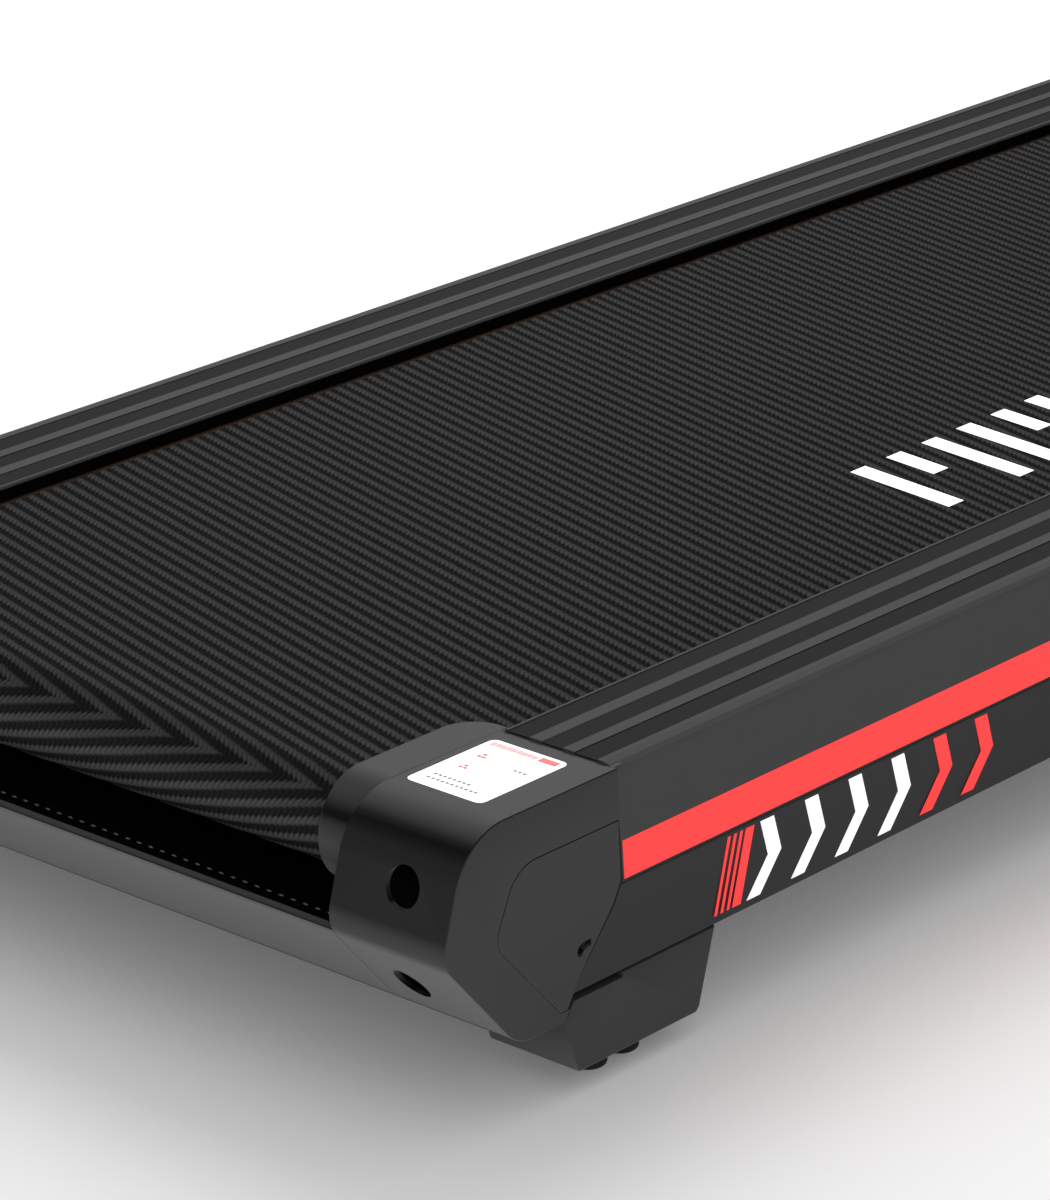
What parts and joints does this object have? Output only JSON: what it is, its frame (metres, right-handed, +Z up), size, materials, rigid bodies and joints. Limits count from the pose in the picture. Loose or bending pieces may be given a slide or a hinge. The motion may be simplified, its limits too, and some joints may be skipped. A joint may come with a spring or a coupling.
{
  "type": "treadmill",
  "caption": "Folding home treadmill with a ribbed running belt, extruded foot rails, moulded rear caps, a front motor cover, uprights, handrails and a sloping console.",
  "frame": {"origin": "on the floor, in the middle of the overall length and width", "axes": "+Z up, +Y from the rear end caps towards the console, +X to the right of a user who faces the console"},
  "size_m": [0.77, 1.74, 1.2705],
  "materials": {
    "belt_rubber": "matte, fine lengthwise ribs",
    "rail_plastic": "extruded, with grip strips",
    "cap_plastic": "fine moulded texture",
    "rubber": "matte",
    "steel": "turned",
    "painted_steel": "satin powder coat",
    "board": "fibreboard with a waxed dark face",
    "cover_plastic": "moulded, satin",
    "console_plastic": "fine moulded texture",
    "screen": "gloss window",
    "red_plastic": "moulded",
    "key_plastic": "moulded",
    "foam": "closed-cell foam",
    "motor_metal": "satin"
  },
  "bodies": {
    "base": {"base_cross_front": "painted_steel", "base_cross_strut": "painted_steel", "floor_tube_left": "painted_steel", "floor_tube_right": "painted_steel", "floor_pad_left": "rubber", "floor_pad_right": "rubber", "upright_left": "painted_steel", "upright_right": "painted_steel", "handrail_left": "painted_steel", "handrail_right": "painted_steel", "grip_left": "foam", "grip_right": "foam", "console_housing": "console_plastic", "console_panel": "cover_plastic", "display_screen": "screen", "cup_tray_left": "console_plastic", "cup_tray_right": "console_plastic"},
    "deck": {"rail_left": "rail_plastic", "rail_right": "rail_plastic", "side_tube_left": "painted_steel", "side_tube_right": "painted_steel", "deck_board": "board", "cushion_strip_left": "rubber", "cushion_strip_right": "rubber", "cross_member": "painted_steel", "end_cap_left": "cap_plastic", "end_cap_right": "cap_plastic", "side_cover_left": "cap_plastic", "side_cover_right": "cap_plastic", "roller_guard_left": "cap_plastic", "roller_guard_right": "cap_plastic", "rear_beam": "cap_plastic", "running_belt": "belt_rubber", "rear_axle": "steel", "rear_foot_left": "cap_plastic", "rear_foot_right": "cap_plastic", "foot_pad_rear_left": "rubber", "foot_pad_rear_right": "rubber", "foot_pad_front_left": "rubber", "foot_pad_front_right": "rubber", "motor": "motor_metal", "motor_plate": "painted_steel", "drive_belt": "rubber", "motor_cover": "cover_plastic", "power_inlet": "console_plastic"},
    "front_roller": {"front_roller": "steel"},
    "rear_roller": {"rear_roller": "steel"},
    "motor_rotor": {"motor_pulley": "steel"},
    "strut_cylinder": {"strut_cylinder": "painted_steel"},
    "strut_rod": {"strut_rod": "steel"},
    "release_lever": {"release_lever": "red_plastic"},
    "wheel_left": {"wheel_left": "rubber"},
    "wheel_right": {"wheel_right": "rubber"},
    "start_key": {"start_key": "key_plastic"},
    "stop_key": {"stop_key": "red_plastic"},
    "speed_key": {"speed_key": "key_plastic"},
    "safety_key": {"safety_key": "red_plastic"},
    "power_switch": {"power_switch": "red_plastic"},
    "belt_bolt_left": {"belt_bolt_left": "steel"},
    "belt_bolt_right": {"belt_bolt_right": "steel"}
  },
  "joints": [
    {"name": "deck_fold", "type": "hinge", "parent": "base", "child": "deck", "pos_m": [0, 0.79, 0.1], "axis": [-1, 0, 0], "range_deg": [0, 75]},
    {"name": "front_roller_spin", "type": "hinge", "parent": "deck", "child": "front_roller", "pos_m": [0, 0.54, 0.1386], "axis": [1, 0, 0], "continuous": true},
    {"name": "rear_roller_spin", "type": "hinge", "parent": "deck", "child": "rear_roller", "pos_m": [0, -0.8185, 0.1386], "axis": [1, 0, 0], "continuous": true},
    {"name": "motor_spin", "type": "hinge", "parent": "deck", "child": "motor_rotor", "pos_m": [0, 0.68, 0.122], "axis": [1, 0, 0], "continuous": true},
    {"name": "strut_swing", "type": "hinge", "parent": "base", "child": "strut_cylinder", "pos_m": [0, 0.63, 0.054], "axis": [-1, 0, 0], "range_deg": [0, 84.58]},
    {"name": "strut_slide", "type": "slide", "parent": "strut_cylinder", "child": "strut_rod", "axis": [0, -0.9999, 0.0145], "range_m": [0, 0.17474]},
    {"name": "release_press", "type": "hinge", "parent": "strut_cylinder", "child": "release_lever", "pos_m": [0.019, 0.33003, 0.05836], "axis": [-1, 0, 0], "range_deg": [0, 18], "stiffness_Nm_per_rad": 0.4, "springref_deg": -5.73},
    {"name": "wheel_left_spin", "type": "hinge", "parent": "base", "child": "wheel_left", "pos_m": [-0.315, 0.84, 0.03], "axis": [1, 0, 0], "continuous": true},
    {"name": "wheel_right_spin", "type": "hinge", "parent": "base", "child": "wheel_right", "pos_m": [0.315, 0.84, 0.03], "axis": [1, 0, 0], "continuous": true},
    {"name": "belt_bolt_left_turn", "type": "hinge", "parent": "deck", "child": "belt_bolt_left", "pos_m": [-0.2695, -0.8, 0.1386], "axis": [0, 1, 0], "continuous": true},
    {"name": "belt_bolt_right_turn", "type": "hinge", "parent": "deck", "child": "belt_bolt_right", "pos_m": [0.2695, -0.8, 0.1386], "axis": [0, 1, 0], "continuous": true},
    {"name": "start_press", "type": "slide", "parent": "base", "child": "start_key", "axis": [0, 0.5736, -0.8192], "range_m": [0, 0.0015], "stiffness_N_per_m": 400},
    {"name": "stop_press", "type": "slide", "parent": "base", "child": "stop_key", "axis": [0, 0.5736, -0.8192], "range_m": [0, 0.0015], "stiffness_N_per_m": 400},
    {"name": "speed_rock", "type": "hinge", "parent": "base", "child": "speed_key", "pos_m": [0.105, 0.68568, 1.16763], "axis": [0, 0.8192, 0.5736], "range_deg": [-2.4, 2.4], "stiffness_Nm_per_rad": 0.6},
    {"name": "safety_pull", "type": "slide", "parent": "base", "child": "safety_key", "axis": [0, -0.5736, 0.8192], "range_m": [0, 0.04]},
    {"name": "power_rock", "type": "hinge", "parent": "deck", "child": "power_switch", "pos_m": [0.2, 0.8305, 0.102], "axis": [-1, 0, 0], "range_deg": [0, 9]}
  ],
  "couplings": [
    {"joint": "rear_roller_spin", "follows": "front_roller_spin", "ratio": 1},
    {"joint": "motor_spin", "follows": "front_roller_spin", "ratio": 2.5},
    {"joint": "strut_swing", "follows": "deck_fold", "ratio": 1.1251},
    {"joint": "strut_slide", "follows": "deck_fold", "m_per_rad": 0.13326}
  ]
}
